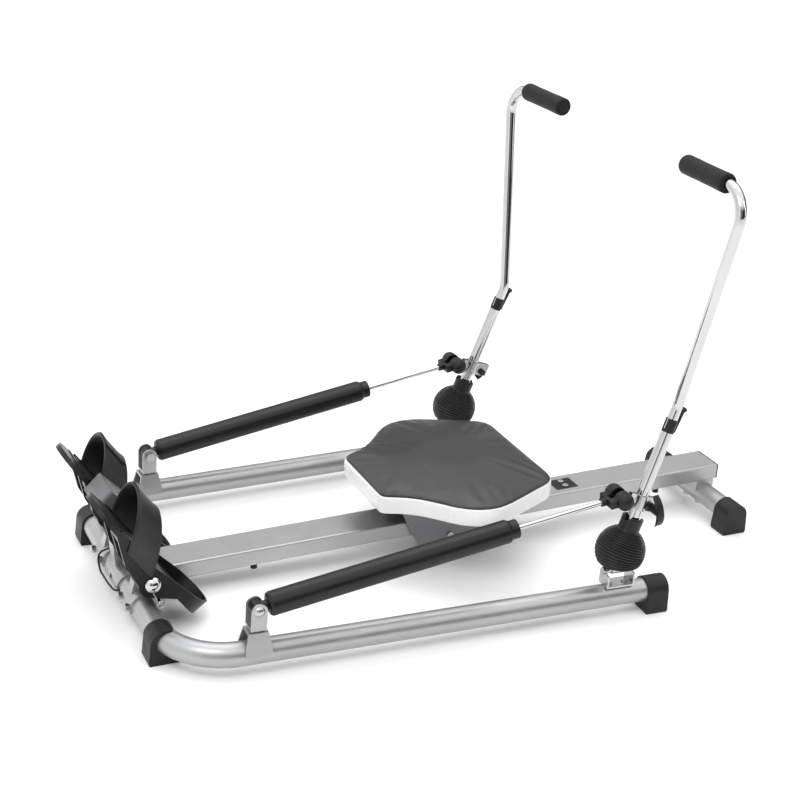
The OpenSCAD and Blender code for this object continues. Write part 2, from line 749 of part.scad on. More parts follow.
// ---------- cylinders ----------
ear_in = 12;
ear_out = 15;
ear_r = 13.5;
clevis_z = 84;
module clevis(side) {
    color(silver) clevis_frame(side) difference() {
        union() {
            slab([-ear_r, -ear_out, clevis_z], [ear_r, ear_out, clevis_z + 4]);
            for (k = [-1, 1]) translate([0, k * (ear_in + ear_out) / 2, 0]) {
                slab([-ear_r, -1.5, clevis_z], [ear_r, 1.5, pin_z]);
                translate([0, 0, pin_z]) rod_y(ear_r, -1.5, 1.5);
            }
            rod_z(11, base_z + air, clevis_z);
        }
        rod_z(bolt_r + run_fit, base_z - over, 100);
        translate([0, 0, pin_z]) rod_y(bolt_r, -30, 30);
    }
}
module clevis_pin(side) {
    color(zinc) clevis_frame(side) translate([0, 0, pin_z]) {
        rod_y(bolt_r, -ear_out, ear_out);
        difference() {
            translate([0, -ear_out + 6, 0]) sphere(r = 11);
            slab([-12, -ear_out, -12], [12, 12, 12]);
        }
        rod_y(8, ear_out, ear_out + 6);
    }
}
module hydraulic_cylinder(side) {
    color(black) cylinder_frame(side) difference() {
        union() {
            rod_y(11, -ear_in + 0.5, ear_in - 0.5);
            rod_x(9, 6, cyl_start + 2);
            translate([cyl_start, 0, 0]) rotate([0, 90, 0]) rotate_extrude()
                polygon([[0, 0], [cyl_d / 2 - 6, 0], [cyl_d / 2 - 2, 2], [cyl_d / 2, 6],
                         [cyl_d / 2, cyl_l - 6], [cyl_d / 2 - 2, cyl_l - 2],
                         [cyl_d / 2 - 4, cyl_l], [0, cyl_l]]);
        }
        rod_y(bolt_r + run_fit, -30, 30);
        rod_x(16, cyl_start + 12, cyl_end + over);
    }
}
module cylinder_collar(side) {
    color(black) cylinder_frame(side) difference() {
        union() {
            rod_x(15.9, cyl_end - 12, cyl_end);
            rod_x(16.5, cyl_end, cyl_end + 13);
        }
        rod_x(rod_d / 2 + run_fit, cyl_end - 20, cyl_end + 20);
    }
}
piston_x = 378;
module piston_rod(side) {
    color(chrome) cylinder_frame(side) {
        rod_x(rod_d / 2, piston_x, rod_len - 30);
        difference() {
            rod_x(15.9, piston_x, piston_x + 12);
            rod_x(rod_d / 2, piston_x - over, piston_x + 20);
        }
    }
}
barrel_r = 15.5;
barrel_in = 13.5;
barrel_y = [6.5, 20];
// One half of the fork: a hollow barrel closed by a dome, about z
module barrel_half() {
    dome = [for (i = [0:8]) let (a = i * 90 / 8)
        [barrel_r * cos(a), barrel_y[1] + (barrel_r - 1) * sin(a)]];
    rotate_extrude() polygon(concat(
        [[barrel_in, barrel_y[0]], [barrel_r, barrel_y[0]]], dome,
        [[0, barrel_y[1]], [barrel_in, barrel_y[1]]]));
}
module rod_end(side) {
    color(black) cylinder_frame(side) {
        difference() {
            union() {
                // the fork's root, on the rod
                rod_x(7.5, rod_len - 36, rod_len - 22);
                translate([rod_len, 0, 0])
                    slab([-27, -barrel_y[1], -7], [-barrel_in - 0.5, barrel_y[1], 7]);
            }
            rod_x(rod_d / 2, rod_len - 60, rod_len - 30);
            translate([rod_len, 0, 0])
                slab([-21, -barrel_y[0], -8], [0, barrel_y[0], 8]);
        }
        translate([rod_len, 0, 0]) for (k = [-1, 1]) rotate([-k * 90, 0, 0]) barrel_half();
    }
}

// ---------- arm ----------
module joint_yoke(side) {
    color(zinc) arm_side(side) lean_frame() {
        difference() {
            union() {
                rod_x(8, -15, 15);
                rod_x(5.5, -24 + air, 24 - air);
                slab([-9, -8, 0], [9, 8, 14]);
                rod_z(17, 11, 14);
                slab([-9, -13, 14], [9, 13, 20]);
                for (k = [-1, 1]) translate([0, k * 11, 0]) {
                    slab([-9, -2, 20], [9, 2, row_z - lean_z]);
                    translate([0, 0, row_z - lean_z]) rod_y(9, -2, 2);
                }
            }
            rod_x(bolt_r + run_fit, -30, 30);
            translate([0, 0, row_z - lean_z]) rod_y(row_pin_r, -30, 30);
        }
        translate([0, 0, row_z - lean_z]) {
            rod_y(row_pin_r, -13, 13);
            for (k = [-1, 1]) translate([0, k * 14.5, 0]) rod_y(6.5, -1.5, 1.5);
        }
    }
}
neck_r = 19;
neck_z = 63;
boot_ribs = 16;
boot_low = -25;                     // flat underside of the boot, from the pivot
boot_a0 = -60;
// The boot's wall: ribs round a ball outside, plain inside
module boot_section() {
    span = 62 - boot_a0;
    ribs = [for (i = [0:2 * boot_ribs]) let (a = boot_a0 + i * span / (2 * boot_ribs),
            r = boot_r - (i % 2 == 0 ? 4 : 0)) [r * cos(a), r * sin(a)]];
    inner = [for (i = [0:8]) let (a = 60 - i * (60 - boot_a0) / 8, r = boot_r - 7)
        [r * cos(a), r * sin(a)]];
    polygon(concat(ribs, inner));
}
module joint_boot(side) {
    color(black) arm_side(side) lean_frame() translate([0, 0, row_z - lean_z]) {
        difference() {
            rotate([0, arm_back, 0]) rotate_extrude() boot_section();
            rotate([0, arm_back, 0]) rod_z(neck_r - 2, 10, 60);
            slab([-60, -60, -60], [60, 60, boot_low]);
        }
        difference() {
            union() {
                rod_z(35, boot_low, boot_low + 3);
                rod_z(22, boot_low - 5, boot_low);
            }
            rod_z(17.3, -60, 0);
        }
        rotate([0, arm_back, 0]) difference() {
            rod_z(neck_r, 30, neck_z);
            rod_z(neck_r - 3, 20, neck_z - 12);
            rod_z(arm_r, neck_z - 20, neck_z + over);
        }
    }
}
module lower_arm(side) {
    color(chrome) arm_frame(side) difference() {
        union() {
            rod_y(10.5, -8.5, 8.5);
            rod_z(8, 5, 16);
            rod_z(arm_r, 13, sock_z);
        }
        rod_y(row_pin_r + run_fit, -30, 30);
        rod_z(handle_r + 0.1, 24, sock_z + over);
    }
}
plate_half = 13;
stud_x = 27;
stud_z = -5;
pinch_x = -18.5;
module half_clamp() {
    difference() {
        union() {
            slab([-24, 2, -plate_half], [-10, 5, plate_half]);
            slab([10, 2, -plate_half], [40, 5, plate_half]);
            rod_z(arm_r + 3, -plate_half, plate_half);
        }
        slab([-60, -60, -30], [60, 2, 30]);
        rod_z(arm_r, -30, 30);
        translate([pinch_x, 0, 0]) rod_y(3, -10, 10);
        translate([stud_x, 0, stud_z]) rod_y(4 + run_fit, -10, 10);
    }
}
module regulator_clamp(side) {
    color(zinc) arm_frame(side) translate([0, 0, clamp_z]) {
        for (k = [0, 1]) mirror([0, k, 0]) half_clamp();
        // the tongue that the rod end is pinned to
        difference() {
            union() {
                slab([eye_x, -2, -8], [-arm_r - 0.5, 2, 8]);
                translate([eye_x, 0, 0]) rod_y(8, -2, 2);
            }
            translate([pinch_x, 0, 0]) rod_y(3, -10, 10);
        }
        translate([eye_x, 0, 0]) for (k = [-1, 1]) translate([0, k * 9.5, 0]) rod_y(2.3, -7.5, 7.5);
        translate([pinch_x, 0, 0]) {
            rod_y(3, -5, 5);
            rod_y(4.5, -8.5, -5);
            rod_y(4.5, 5, 9);
        }
    }
}
knob_tilt = [-28, -44];             // each wing's turn from the arm's line
module regulator_knob(side) {
    turn = side < 0 ? knob_tilt[0] : knob_tilt[1];
    color(black) arm_frame(side) translate([stud_x, 0, clamp_z + stud_z]) {
        rod_y(4, -20, 10);
        rod_y(7.5, -29, -6);
        rod_y(6.5, 5.5, 10);
        rotate([0, turn, 0]) knob_wing();
    }
}
// The wing: a bar that curves back towards the arm at its ends
module knob_wing() {
    intersection() {
        difference() {
            translate([0, 15, 0]) rod_x(50, -6, 6);
            translate([0, 22, 0]) rod_x(50, -8, 8);
        }
        rod_x(35, -6, 6);
    }
}
module handle_tube(side) {
    color(chrome) arm_side(side) bent_tube(handle_path, kink_r, top_r, handle_r, 1.5);
}
clip_l = 24;
module handle_clip(side) {
    color(black) arm_frame(side) difference() {
        union() {
            rod_z(arm_r, sock_z, sock_z + clip_l);
            // the lever, held a little off the tube at its top
            plate_xz(-5, 5) polygon([[5, sock_z + 2], [arm_r + 1, sock_z + 2],
                [arm_r + 4, sock_z + 40], [arm_r + 8.5, sock_z + 45], [arm_r + 4.5, sock_z + 49],
                [arm_r - 1, sock_z + 44], [handle_r + 0.4, sock_z + clip_l], [5, sock_z + clip_l]]);
        }
        rod_z(handle_r + 0.1, sock_z - over, sock_z + clip_l + over);
        // the slot in the front of the clip's sleeve
        slab([-20, -3, sock_z + 5], [0, 3, sock_z + 60]);
    }
}
module handle_grip(side) {
    along = unit(grip_tip - top_corner);
    start = grip_tip - along * (grip_l - 4);
    color(black) arm_side(side) difference() {
        union() {
            stretch(start + along * 3, grip_tip + along * 1, grip_d / 2);
            stretch(start, grip_tip + along * 4, grip_d / 2 - 3);
            translate(start + along * 3) stretch([0, 0, 0], -along * 1.5, grip_d / 2 - 1);
        }
        stretch(start - along, grip_tip, handle_r);
    }
}

main_frame_tube();
front_feet();
leg_end_caps();
cylinder_bases();
joint_brackets();
seat_rail();
rail_end_cap();
rail_saddle();
rear_stabilizer();
stabilizer_feet();
frame_bolts();
rail_top_plate();
rail_bumpers();
pedal_brackets();
pedal_axle();
console_back();
console_front();
console_screen();
console_button();
sensor_lead();
seat_cushion();
seat_band();
seat_board();
seat_carriage();
carriage_axles();
top_roller(-1);  // top_roller_front
top_roller(1);  // top_roller_rear
bottom_roller();
footplate(-1);  // footplate_left
foot_strap(-1);  // foot_strap_left
clevis(-1);  // clevis_left
clevis_pin(-1);  // clevis_pin_left
hydraulic_cylinder(-1);  // hydraulic_cylinder_left
cylinder_collar(-1);  // cylinder_collar_left
piston_rod(-1);  // piston_rod_left
rod_end(-1);  // rod_end_left
joint_yoke(-1);  // joint_yoke_left
joint_boot(-1);  // joint_boot_left
lower_arm(-1);  // lower_arm_left
regulator_clamp(-1);  // regulator_clamp_left
regulator_knob(-1);  // regulator_knob_left
handle_tube(-1);  // handle_tube_left
handle_clip(-1);  // handle_clip_left
handle_grip(-1);  // handle_grip_left
footplate(1);  // footplate_right
foot_strap(1);  // foot_strap_right
clevis(1);  // clevis_right
clevis_pin(1);  // clevis_pin_right
hydraulic_cylinder(1);  // hydraulic_cylinder_right
cylinder_collar(1);  // cylinder_collar_right
piston_rod(1);  // piston_rod_right
rod_end(1);  // rod_end_right
joint_yoke(1);  // joint_yoke_right
joint_boot(1);  // joint_boot_right
lower_arm(1);  // lower_arm_right
regulator_clamp(1);  // regulator_clamp_right
regulator_knob(1);  // regulator_knob_right
handle_tube(1);  // handle_tube_right
handle_clip(1);  // handle_clip_right
handle_grip(1);  // handle_grip_right
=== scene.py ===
"""A hydraulic rowing machine: finishes for its hard parts, and its soft and flexible parts."""
import json
import math

import bpy
import bmesh
import numpy as np
from mathutils import Matrix, Vector, noise


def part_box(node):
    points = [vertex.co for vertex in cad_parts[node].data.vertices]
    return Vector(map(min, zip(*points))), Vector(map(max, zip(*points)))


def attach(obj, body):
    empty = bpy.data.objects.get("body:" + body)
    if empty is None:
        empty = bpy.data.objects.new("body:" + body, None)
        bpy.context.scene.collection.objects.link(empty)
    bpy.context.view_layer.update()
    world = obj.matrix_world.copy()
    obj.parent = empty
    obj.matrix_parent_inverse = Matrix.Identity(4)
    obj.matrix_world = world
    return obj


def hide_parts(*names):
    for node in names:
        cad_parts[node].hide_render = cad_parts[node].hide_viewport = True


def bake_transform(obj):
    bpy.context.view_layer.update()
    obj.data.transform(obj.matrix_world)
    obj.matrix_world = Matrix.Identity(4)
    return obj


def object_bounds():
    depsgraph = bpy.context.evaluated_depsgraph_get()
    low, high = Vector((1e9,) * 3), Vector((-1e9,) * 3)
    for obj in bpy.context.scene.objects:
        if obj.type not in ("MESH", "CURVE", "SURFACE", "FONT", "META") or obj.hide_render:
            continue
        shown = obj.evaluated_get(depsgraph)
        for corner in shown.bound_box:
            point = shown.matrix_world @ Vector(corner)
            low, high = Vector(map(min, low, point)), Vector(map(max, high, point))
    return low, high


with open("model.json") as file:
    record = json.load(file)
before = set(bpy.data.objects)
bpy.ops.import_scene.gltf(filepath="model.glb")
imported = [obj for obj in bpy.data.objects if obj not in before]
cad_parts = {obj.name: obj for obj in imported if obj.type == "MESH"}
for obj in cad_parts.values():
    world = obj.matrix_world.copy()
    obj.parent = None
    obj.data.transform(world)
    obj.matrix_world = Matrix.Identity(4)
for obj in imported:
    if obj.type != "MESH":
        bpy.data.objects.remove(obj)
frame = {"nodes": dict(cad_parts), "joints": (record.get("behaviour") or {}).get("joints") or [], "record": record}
cad_low, cad_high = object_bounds()
nodes = frame["nodes"]
joints = {j["name"]: j for j in frame["joints"]}
MM = 0.001
SIDES = ("left", "right")
FLOOR_Z = cad_low.z

# ---------- places, all from the CAD ----------
TUBE_R = 21 * MM
crossbar_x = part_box("main_frame_tube")[0].x + TUBE_R


class Place:
    """A local frame: an origin and three axes. Its points are given in millimetres."""

    def __init__(self, origin, ex, ey, ez):
        self.origin = Vector(origin)
        self.ex, self.ey, self.ez = (Vector(v).normalized() for v in (ex, ey, ez))

    def at(self, x, y, z):
        return self.origin + (self.ex * x + self.ey * y + self.ez * z) * MM

    def turned(self, degrees):
        """This frame turned about its own y axis."""
        a = math.radians(degrees)
        c, s = math.cos(a), math.sin(a)
        return Place(self.origin, self.ex * c - self.ez * s, self.ey, self.ex * s + self.ez * c)


def joint_pos(name):
    return Vector(joints[name]["pos_m"])


# The seat's frame: x along the rail, z off its top face
WHEEL_UP = 14.1
slide = Vector(joints["seat_slide"]["axis"]).normalized()
rail_up = Vector((-slide.z, 0, slide.x))
wheels_mid = (joint_pos("front_roller_spin") + joint_pos("rear_roller_spin")) / 2
seat = Place(wheels_mid - rail_up * WHEEL_UP * MM, slide, (0, 1, 0), rail_up)

# The left arm's frames; the right side mirrors the left
ARM_BACK = 18.2
lean_axis = Vector(joints["arm_lean_left"]["axis"])
row_axis = Vector(joints["arm_row_left"]["axis"])
yoke = Place(joint_pos("arm_row_left"), lean_axis, row_axis, lean_axis.cross(row_axis))
arm = yoke.turned(ARM_BACK)

# The left pedal's frame: x towards the heel, z off the sole
PEDAL_TILT = 52.7
pedal_hinge = joint_pos("pedal_tilt_left")
pedal = Place(pedal_hinge, (1, 0, 0), (0, 1, 0), (0, 0, 1)).turned(PEDAL_TILT)

# ---------- camera ----------
CAM_YAW, CAM_PITCH, CAM_ROLL = 0.46512, 0.40364, 0.07451
CAM_FROM_CROSSBAR = Vector((-0.6743, -2.3491, 1.4309))
ahead = Vector((math.sin(CAM_YAW) * math.cos(CAM_PITCH), math.cos(CAM_YAW) * math.cos(CAM_PITCH),
                -math.sin(CAM_PITCH)))
right = Vector((math.cos(CAM_YAW), -math.sin(CAM_YAW), 0))
up = right.cross(ahead)
rolled_right = right * math.cos(CAM_ROLL) + up * math.sin(CAM_ROLL)
rolled_up = up * math.cos(CAM_ROLL) - right * math.sin(CAM_ROLL)
cam_data = bpy.data.cameras.new("camera")
cam_data.sensor_width = 36
cam_data.lens = 71.95
cam_data.clip_end = 50
camera = bpy.data.objects.new("camera", cam_data)
bpy.context.scene.collection.objects.link(camera)
cam_place = CAM_FROM_CROSSBAR + Vector((crossbar_x, 0, 0))
turn = Matrix((rolled_right, rolled_up, -ahead)).transposed()
camera.matrix_world = Matrix.Translation(cam_place) @ turn.to_4x4()
bpy.context.scene.camera = camera


# ---------- materials ----------
class Finish:
    """A Principled material with helpers for its procedural detail."""

    def __init__(self, name, colour, rough, metal=0.0, **sockets):
        self.mat = bpy.data.materials.new(name)
        self.mat.use_nodes = True
        self.tree = self.mat.node_tree
        self.shader = self.tree.nodes["Principled BSDF"]
        self.colour = colour
        self.shader.inputs["Base Color"].default_value = (*colour, 1)
        self.shader.inputs["Roughness"].default_value = rough
        self.shader.inputs["Metallic"].default_value = metal
        for key, value in sockets.items():
            socket = key.replace("_", " ").title().replace("Ior", "IOR")
            self.shader.inputs[socket].default_value = value
        self.place = self.add("ShaderNodeTexCoord").outputs["Object"]
        self.height = None

    def add(self, kind, **values):
        node = self.tree.nodes.new(kind)
        for key, value in values.items():
            if key in node.inputs:
                node.inputs[key].default_value = value
            else:
                setattr(node, key, value)
        return node

    def link(self, a, b):
        self.tree.links.new(a, b)

    def stretched(self, scale):
        """Coordinates stretched along the axes, for brushed or drawn surfaces."""
        node = self.add("ShaderNodeMapping")
        node.inputs["Scale"].default_value = scale
        self.link(self.place, node.inputs["Vector"])
        return node.outputs["Vector"]

    def noise(self, scale, detail=3.0, rough=0.5, place=None):
        node = self.add("ShaderNodeTexNoise", Scale=scale, Detail=detail, Roughness=rough)
        self.link(place or self.place, node.inputs["Vector"])
        return node.outputs["Fac"]

    def cells(self, scale, feature="F1", place=None):
        node = self.add("ShaderNodeTexVoronoi", Scale=scale)
        node.feature = feature
        self.link(place or self.place, node.inputs["Vector"])
        return node.outputs["Distance"]

    def ranged(self, value, low, high, from_low=0.0, from_high=1.0):
        node = self.add("ShaderNodeMapRange")
        for key, x in (("From Min", from_low), ("From Max", from_high), ("To Min", low),
                       ("To Max", high)):
            node.inputs[key].default_value = x
        self.link(value, node.inputs["Value"])
        return node.outputs["Result"]

    def math(self, operation, a, b):
        node = self.add("ShaderNodeMath", operation=operation)
        for socket, value in ((node.inputs[0], a), (node.inputs[1], b)):
            if isinstance(value, (int, float)):
                socket.default_value = value
            else:
                self.link(value, socket)
        return node.outputs[0]

    def tint(self, value, dark, light):
        """Base colour between two tones of this finish's colour."""
        ramp = self.add("ShaderNodeValToRGB")
        for stop, k in zip(ramp.color_ramp.elements, (dark, light)):
            stop.color = (*(min(1.0, c * k) for c in self.colour), 1)
        self.link(value, ramp.inputs["Fac"])
        self.link(ramp.outputs["Color"], self.shader.inputs["Base Color"])
        return self

    def vary_rough(self, value, low, high):
        self.link(self.ranged(value, low, high, 0.3, 0.7), self.shader.inputs["Roughness"])
        return self

    def bump(self, value, depth_mm):
        """Adds a layer of relief of this depth in millimetres."""
        node = self.add("ShaderNodeBump", Strength=1.0, Distance=depth_mm * MM)
        self.link(value, node.inputs["Height"])
        if self.height:
            self.link(self.height, node.inputs["Normal"])
        self.height = node.outputs["Normal"]
        self.link(self.height, self.shader.inputs["Normal"])
        return self

    def edges(self, amount):
        """Slightly paler, rubbed edges."""
        geometry = self.add("ShaderNodeNewGeometry")
        return self.ranged(geometry.outputs["Pointiness"], 0.0, amount, 0.5, 0.62)


def moulded(name, colour, rough, grain=900, depth=0.03):
    """Injection-moulded plastic: fine spark texture over slow variations."""
    f = Finish(name, colour, rough, Specular_IOR_Level=0.28)
    slow = f.noise(18, 4, 0.6)
    f.tint(f.math("ADD", slow, f.edges(0.35)), 0.75, 1.5)
    f.vary_rough(f.noise(60, 5), rough - 0.06, rough + 0.1)
    f.bump(f.cells(grain), depth).bump(f.noise(35, 2), 0.06)
    return f.mat


def paint(name, colour, rough, metal, flake=True):
    """Sprayed paint with slight orange peel, and metallic flake if asked."""
    f = Finish(name, colour, rough, metal, Coat_Weight=0.35 if flake else 0.08,
               Coat_Roughness=0.22, Specular_IOR_Level=0.5 if flake else 0.3)
    if flake:
        sparkle = f.math("ADD", f.noise(2600, 2, 0.7), f.math("MULTIPLY", f.noise(9, 3), 0.4))
        f.tint(sparkle, 0.72, 1.22)
    else:
        f.tint(f.math("ADD", f.noise(14, 4), f.edges(0.3)), 0.7, 1.6)
    f.vary_rough(f.noise(45, 4), rough - 0.05, rough + 0.07)
    f.bump(f.noise(420, 2, 0.5), 0.018).bump(f.noise(2600, 1), 0.004)
    return f.mat


def plated(name, colour, rough, streak, spread=0.05):
    """Chrome or zinc: faint drawn streaks and small dull patches."""
    f = Finish(name, colour, rough, 1.0)
    drawn = f.noise(90, 4, 0.6, f.stretched(streak))
    f.tint(f.noise(7, 4, 0.6), 0.86, 1.1)
    f.vary_rough(f.math("MULTIPLY", f.math("ADD", drawn, f.noise(30, 5)), 0.5),
                 max(0.02, rough - spread), rough + spread * 1.4)
    f.bump(drawn, 0.006)
    return f.mat


def rubber(name, colour, rough, grain=500, depth=0.05, sheen=0.05):
    """Rubber or foam: matt, slightly worn at its edges, with a fine grain."""
    f = Finish(name, colour, rough, Sheen_Weight=sheen, Sheen_Roughness=0.4,
               Specular_IOR_Level=0.22)
    f.tint(f.math("ADD", f.noise(22, 5, 0.65), f.edges(0.4)), 0.7, 1.7)
    f.vary_rough(f.noise(80, 4), rough - 0.07, rough + 0.08)
    f.bump(f.noise(grain, 3, 0.7), depth)
    return f.mat


def leather(name, colour, rough, grain_mm=1.4, depth=0.10, coat=0.1, contrast=(0.75, 1.35)):
    """Upholstery vinyl: pebbled cells, finer pores between, and slow tone changes."""
    f = Finish(name, colour, rough, Coat_Weight=coat, Coat_Roughness=0.3,
               Specular_IOR_Level=0.5)
    wander = f.add("ShaderNodeVectorMath", operation="ADD")
    soft = f.add("ShaderNodeTexNoise", Scale=120.0, Detail=2.0)
    f.link(f.place, soft.inputs["Vector"])
    nudge = f.add("ShaderNodeVectorMath", operation="SCALE")
    nudge.inputs["Scale"].default_value = 0.0016
    f.link(soft.outputs["Color"], nudge.inputs[0])
    f.link(f.place, wander.inputs[0])
    f.link(nudge.outputs["Vector"], wander.inputs[1])
    pebble = f.cells(1000 / grain_mm, "SMOOTH_F1", wander.outputs["Vector"])
    f.tint(f.math("ADD", f.noise(9, 4), f.edges(0.25)), *contrast)
    f.vary_rough(f.noise(40, 5), rough - 0.06, rough + 0.08)
    f.bump(f.ranged(pebble, 1.0, 0.0, 0.0, 0.8), depth).bump(f.noise(1800, 3), 0.02)
    return f.mat


def wood(name, colour):
    """Plywood in a dark tone, its plies showing at the edges: partly the board's own dark finish, partly painted
    shade from under the seat.
    """
    f = Finish(name, colour, 0.6)
    plies = f.add("ShaderNodeTexWave", Scale=180.0, Distortion=4.0, Detail=3.0)
    plies.bands_direction = "Z"
    f.link(f.place, plies.inputs["Vector"])
    f.tint(f.math("MULTIPLY", f.math("ADD", plies.outputs["Fac"], f.noise(60, 4)), 0.5), 0.6, 1.3)
    f.bump(plies.outputs["Fac"], 0.15)
    return f.mat


def display(name, colour):
    """A reflective liquid-crystal panel behind glass, showing nothing."""
    f = Finish(name, colour, 0.12, Coat_Weight=1.0, Coat_Roughness=0.03)
    f.tint(f.noise(40, 2), 0.9, 1.06)
    f.bump(f.noise(300, 1), 0.004)
    return f.mat


BLACK = (0.007, 0.007, 0.0075)
slots = {
    "silver_paint": paint("silver_paint", (0.36, 0.362, 0.367), 0.36, 0.75),
    "black_plastic": moulded("black_plastic", BLACK, 0.42),
    "black_rubber": rubber("black_rubber", BLACK, 0.6),
    "zinc_steel": plated("zinc_steel", (0.50, 0.495, 0.48), 0.24, (1, 1, 8)),
    "chrome": plated("chrome", (0.55, 0.555, 0.56), 0.07, (8, 8, 1), 0.03),
    "console_grey": moulded("console_grey", (0.095, 0.096, 0.10), 0.38, 1200, 0.02),
    "lcd_panel": display("lcd_panel", (0.46, 0.52, 0.44)),
    "red_button": moulded("red_button", (0.42, 0.05, 0.04), 0.35, 1400, 0.01),
    "lead_black": rubber("lead_black", BLACK, 0.45, 900, 0.02),
    "seat_leather": leather("seat_leather", (0.019, 0.019, 0.020), 0.40, coat=0.06),
    "seat_band": leather("seat_band", (0.80, 0.80, 0.79), 0.22, 0.9, 0.03, 0.6, (0.9, 1.05)),
    # The seat board's near-black colour is partly painted shade: it stands in for the shadow under the cushion.
    "seat_board": wood("seat_board", (0.05, 0.045, 0.04)),
    "carriage_paint": paint("carriage_paint", (0.20, 0.203, 0.21), 0.42, 0.3),
    "wheel_nylon": moulded("wheel_nylon", BLACK, 0.35, 1500, 0.01),
    "pedal_plastic": moulded("pedal_plastic", (0.008, 0.008, 0.0085), 0.33, 700, 0.04),
    "strap_black": leather("strap_black", (0.012, 0.012, 0.0125), 0.46, 0.8, 0.05),
    "cylinder_black": paint("cylinder_black", (0.004, 0.004, 0.0045), 0.36, 0.0, False),
    "rod_chrome": plated("rod_chrome", (0.58, 0.585, 0.59), 0.06, (1, 8, 8), 0.02),
    "boot_rubber": rubber("boot_rubber", (0.014, 0.014, 0.0145), 0.30, 700, 0.02, 0.05),
    "grip_foam": rubber("grip_foam", (0.007, 0.007, 0.0075), 0.72, 1100, 0.16, 0.12),
}
for part in frame["record"]["subparts"]:
    shown = nodes[part["node"]]
    shown.data.materials.clear()
    shown.data.materials.append(slots[part["material_slot"]])


# ---------- mesh helpers ----------
def new_piece(name, verts, faces, slot, body, mirrored=False):
    """A mesh object in the row frame, mirrored across the rail if asked, riding on a body."""
    if mirrored:
        verts = [Vector((v[0], -v[1], v[2])) for v in verts]
        faces = [tuple(reversed(f)) for f in faces]
    mesh = bpy.data.meshes.new(name)
    mesh.from_pydata([tuple(v) for v in verts], [], faces)
    mesh.validate()
    obj = bpy.data.objects.new(name, mesh)
    bpy.context.scene.collection.objects.link(obj)
    bm = bmesh.new()
    bm.from_mesh(mesh)
    bmesh.ops.recalc_face_normals(bm, faces=bm.faces)
    bm.to_mesh(mesh)
    bm.free()
    mesh.materials.append(slots[slot])
    for face in mesh.polygons:
        face.use_smooth = True
    if body:
        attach(obj, body)
    return obj


def modifier(obj, kind, **values):
    mod = obj.modifiers.new(kind.lower(), kind)
    for key, value in values.items():
        setattr(mod, key, value)
    return mod


def apply_modifiers(obj):
    graph = bpy.context.evaluated_depsgraph_get()
    graph.update()
    mesh = bpy.data.meshes.new_from_object(obj.evaluated_get(graph))
    obj.modifiers.clear()
    obj.data = mesh
    return obj


def rings_mesh(rings, closed=True):
    """Verts and faces of a skin over rings of equal count. Open at both ends if not closed."""
    count = len(rings[0])
    verts = [v for ring in rings for v in ring]
    faces = []
    for i in range(len(rings) - 1):
        for k in range(count):
            a, b = i * count + k, i * count + (k + 1) % count
            faces.append((a, b, b + count, a + count))
    if closed:
        for ring, order in ((0, -1), (len(rings) - 1, 1)):
            faces.append(tuple(ring * count + k for k in range(count))[::order])
    return verts, faces


def looped_mesh(rows):
    """Verts and faces of a skin over rows that close on the first row, and on themselves."""
    count, total = len(rows[0]), len(rows)
    verts = [v for row in rows for v in row]
    faces = []
    for i in range(total):
        j = (i + 1) % total
        for k in range(count):
            m = (k + 1) % count
            faces.append((i * count + k, i * count + m, j * count + m, j * count + k))
    return verts, faces


def lathe(place, profile, turns):
    """Rings about a place's z axis, from (radius, height) pairs in millimetres."""
    rings = []
    for r, h in profile:
        rings.append([place.at(r * math.cos(a), r * math.sin(a), h)
                      for a in (2 * math.pi * k / turns for k in range(turns))])
    return rings


# ---------- seat ----------
SEAT_BASE, SEAT_SIDE = 57, 35
SEAT_OUTLINE = ((-163, -84, 12), (-108, -108, 34), (-14, -213, 72), (163, -132, 28))


def rounded_outline(corners):
    """Points of an outline with each corner cut back and rounded by a parabola."""
    points, steps = [], 14
    count = len(corners)
    for i, (x, y, cut) in enumerate(corners):
        corner = Vector((x, y))
        before = Vector(corners[i - 1][:2])
        after = Vector(corners[(i + 1) % count][:2])
        a = corner + (before - corner).normalized() * cut
        b = corner + (after - corner).normalized() * cut
        for k in range(steps + 1):
            t = k / steps
            points.append(a * (1 - t) ** 2 + corner * 2 * t * (1 - t) + b * t ** 2)
    return points


def evenly(points, count):
    """A closed outline's points, spread evenly along it."""
    loop = points + [points[0]]
    lengths = [0.0]
    for p, q in zip(loop, loop[1:]):
        lengths.append(lengths[-1] + (q - p).length)
    out, i = [], 0
    for k in range(count):
        target = lengths[-1] * k / count
        while lengths[i + 1] < target:
            i += 1
        span = max(lengths[i + 1] - lengths[i], 1e-9)
        out.append(loop[i].lerp(loop[i + 1], (target - lengths[i]) / span))
    return out


mirrored_half = [(x, -y, cut) for x, y, cut in reversed(SEAT_OUTLINE)]
outline = evenly(rounded_outline(list(SEAT_OUTLINE) + mirrored_half), 420)
outward = []
for k, point in enumerate(outline):
    along = outline[(k + 1) % len(outline)] - outline[k - 1]
    outward.append(Vector((along.y, -along.x)).normalized())


def seat_ring(offset, height, wobble=None):
    """The seat's outline at a height, moved outwards by the offset and the wobble."""
    ring = []
    for k, (point, normal) in enumerate(zip(outline, outward)):
        extra = wobble(k, height) if wobble else 0.0
        at = point + normal * (offset + extra)
        ring.append(seat.at(at.x, at.y, height))
    return ring


TOP = SEAT_BASE + SEAT_SIDE
# The crown's rise over the band, by how far out from the middle
DOME = ((0.955, 4.2), (0.93, 6.4), (0.90, 8.2), (0.86, 9.8), (0.80, 11.2), (0.70, 12.4),
        (0.56, 13.2), (0.40, 13.8), (0.22, 14.1), (0.05, 14.2))


